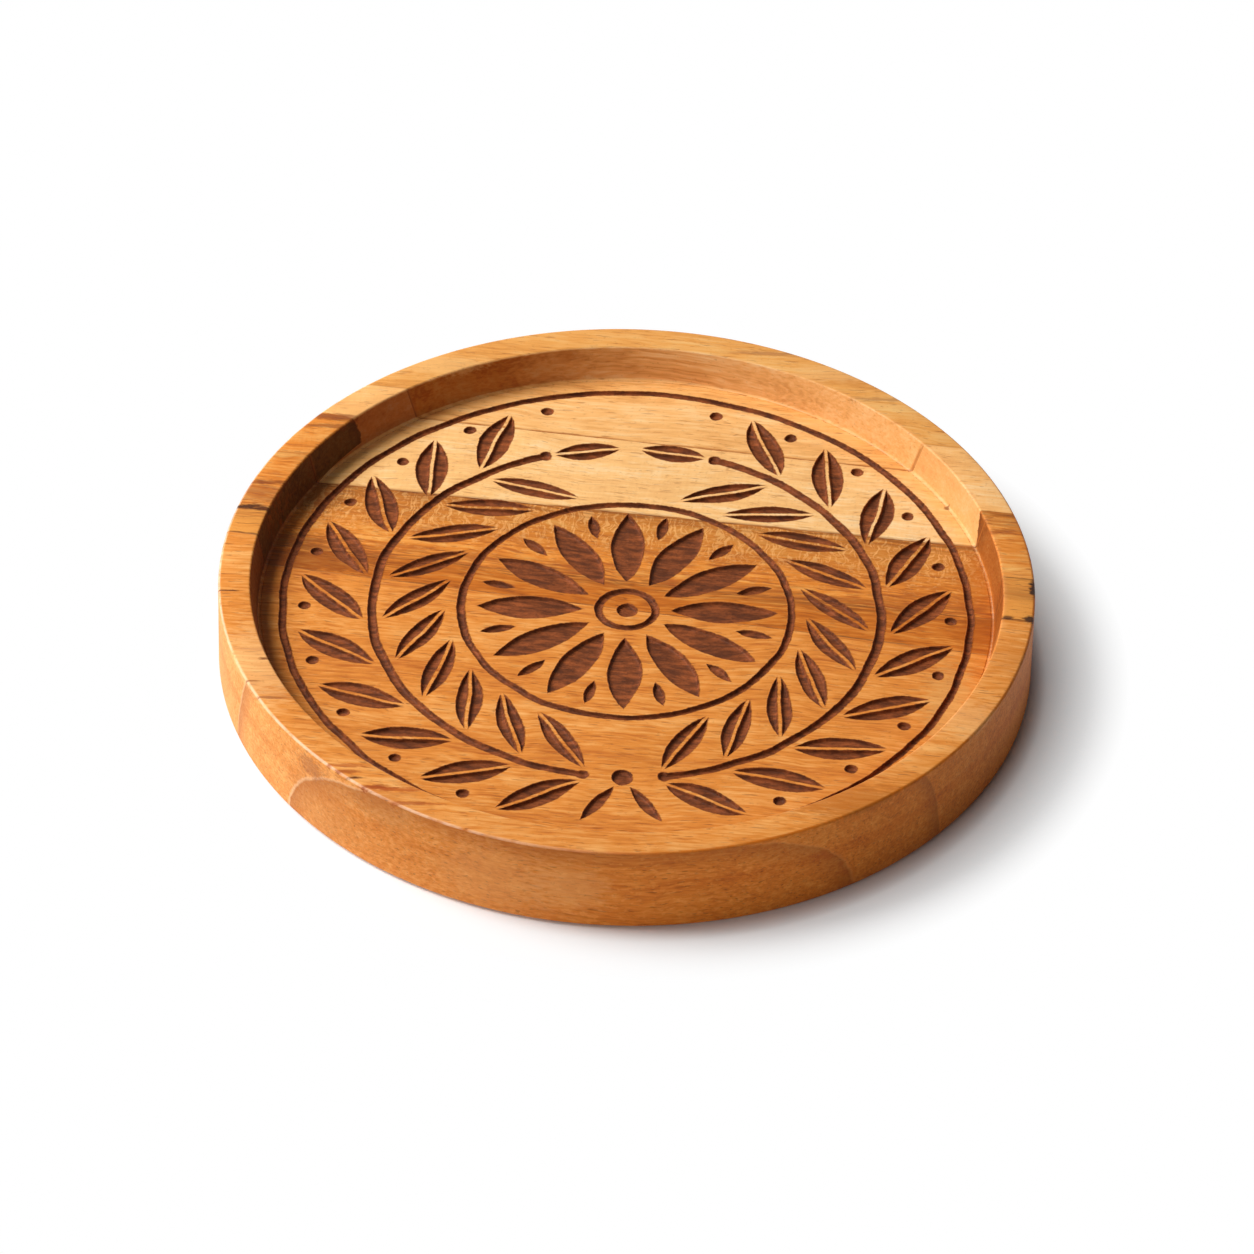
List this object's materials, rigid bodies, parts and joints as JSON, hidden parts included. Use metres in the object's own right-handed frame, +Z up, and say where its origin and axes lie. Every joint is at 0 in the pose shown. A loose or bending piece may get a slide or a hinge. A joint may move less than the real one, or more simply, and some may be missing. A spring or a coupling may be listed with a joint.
{
  "type": "drink coaster",
  "caption": "Round wooden drink coaster: a shallow dish turned from edge-glued staves, with a low rim and a carved wreath and rosette on its recess floor.",
  "frame": {"origin": "middle of the underside, where the coaster stands on the table", "axes": "+Z up through the rim, +X to the right along the staves' run, +Y to the back, where the pale staves are"},
  "size_m": [0.1, 0.1, 0.012],
  "materials": {
    "teak_sapwood_streaked": "satin",
    "teak_sapwood_plain": "satin",
    "teak_heartwood_brown": "satin",
    "teak_heartwood_dark": "satin",
    "teak_heartwood_golden": "satin",
    "wood_glue_film": "satin"
  },
  "bodies": {
    "root": {"back_stave": "teak_sapwood_streaked", "pale_stave": "teak_sapwood_plain", "brown_stave": "teak_heartwood_brown", "narrow_stave": "teak_heartwood_dark", "front_stave": "teak_heartwood_golden", "glue_line_back": "wood_glue_film", "glue_line_pale": "wood_glue_film", "glue_line_brown": "wood_glue_film", "glue_line_front": "wood_glue_film"}
  },
  "joints": []
}
